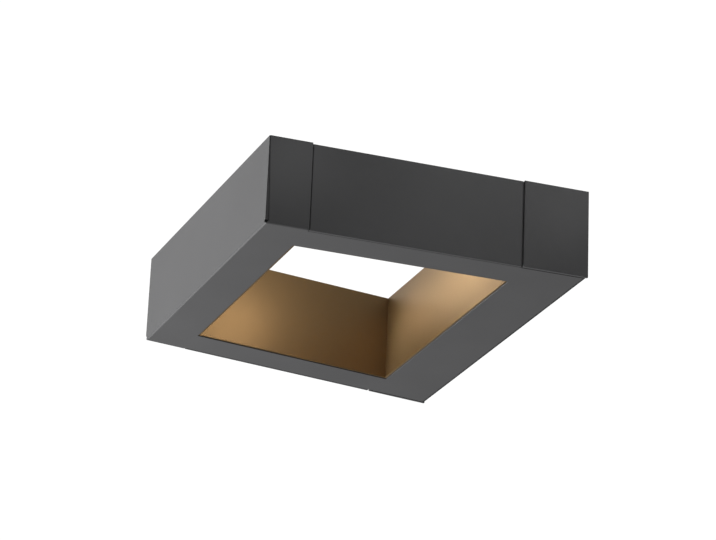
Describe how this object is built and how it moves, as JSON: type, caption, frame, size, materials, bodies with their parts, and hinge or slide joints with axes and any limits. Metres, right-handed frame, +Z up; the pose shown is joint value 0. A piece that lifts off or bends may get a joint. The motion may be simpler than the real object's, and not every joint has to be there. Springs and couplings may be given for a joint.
{
  "type": "wall light",
  "caption": "Flat wall light: a tapered open ring of four beams, dark outside and gold inside, lit from the front beam, hung on a wall bracket.",
  "frame": {"origin": "middle of the wall bracket's two screw slots, on the wall plane", "axes": "+Y into the wall, the lamp reaches towards -Y; +Z up; +X to the right as seen from the room"},
  "size_m": [0.2384, 0.2, 0.056],
  "materials": {
    "powder_coat": "satin",
    "gold_coat": "satin",
    "raw_aluminium": "mill finish",
    "zinc_steel": "satin",
    "stainless": "satin",
    "opal": "satin",
    "white_plastic": "matte",
    "grey_plastic": "matte",
    "black_plastic": "matte",
    "orange_plastic": "satin",
    "circuit_board": "satin",
    "green_board": "satin",
    "led_yellow": "satin",
    "black_rubber": "matte",
    "grey_silicone": "matte",
    "tinned_copper": "satin",
    "lead_brown": "satin",
    "lead_blue": "satin",
    "lead_green": "satin",
    "lead_red": "satin",
    "lead_black": "satin"
  },
  "bodies": {
    "bracket": {"wall_bracket": "zinc_steel", "cable_grommet": "black_rubber"},
    "lamp": {"face_tray": "powder_coat", "top_plate": "powder_coat", "arm_cover_left": "powder_coat", "arm_cover_right": "powder_coat", "rear_cheek_left": "powder_coat", "rear_cheek_right": "powder_coat", "gold_panel_front": "gold_coat", "gold_panel_rear": "gold_coat", "gold_panel_left": "gold_coat", "gold_panel_right": "gold_coat", "wall_housing": "powder_coat", "arm_channel_left": "powder_coat", "arm_channel_right": "powder_coat", "front_rail": "powder_coat", "thermal_pad": "grey_silicone", "heat_spreader": "raw_aluminium", "led_board": "circuit_board", "led_chips": "led_yellow", "light_tray": "white_plastic", "diffuser": "opal", "diffuser_gasket": "black_rubber", "board_screws": "stainless", "wall_seal": "black_rubber", "driver_case": "white_plastic", "driver_cover": "white_plastic", "driver_board": "green_board", "driver_components": "black_plastic", "driver_screws": "stainless", "terminal_block": "grey_plastic", "terminal_screws": "stainless", "cord_clamp": "black_plastic", "cord_clamp_screws": "stainless", "earth_tag": "tinned_copper", "earth_screw": "stainless", "lead_bushes": "black_rubber", "lead_clips": "black_plastic", "lead_positive": "lead_red", "lead_negative": "lead_black", "lead_live": "lead_brown", "lead_neutral": "lead_blue", "lead_earth": "lead_green", "top_plate_screws": "stainless", "cover_screws": "stainless", "arm_screws": "stainless"},
    "locking_screw_left": {"locking_screw_left": "stainless"},
    "locking_screw_right": {"locking_screw_right": "stainless"},
    "button_live": {"terminal_button_live": "orange_plastic"},
    "button_neutral": {"terminal_button_neutral": "orange_plastic"},
    "button_earth": {"terminal_button_earth": "orange_plastic"}
  },
  "joints": [
    {"name": "lamp_pull", "type": "slide", "parent": "bracket", "child": "lamp", "axis": [0, -1, 0], "range_m": [0, 0.016]},
    {"name": "locking_screw_left_travel", "type": "slide", "parent": "lamp", "child": "locking_screw_left", "axis": [0, 0, 1], "range_m": [0, 0.003]},
    {"name": "locking_screw_right_travel", "type": "slide", "parent": "lamp", "child": "locking_screw_right", "axis": [0, 0, 1], "range_m": [0, 0.003]},
    {"name": "button_live_press", "type": "slide", "parent": "lamp", "child": "button_live", "axis": [0, -1, 0], "range_m": [0, 0.0015], "stiffness_N_per_m": 400, "springref_m": -0.002},
    {"name": "button_neutral_press", "type": "slide", "parent": "lamp", "child": "button_neutral", "axis": [0, -1, 0], "range_m": [0, 0.0015], "stiffness_N_per_m": 400, "springref_m": -0.002},
    {"name": "button_earth_press", "type": "slide", "parent": "lamp", "child": "button_earth", "axis": [0, -1, 0], "range_m": [0, 0.0015], "stiffness_N_per_m": 400, "springref_m": -0.002}
  ]
}
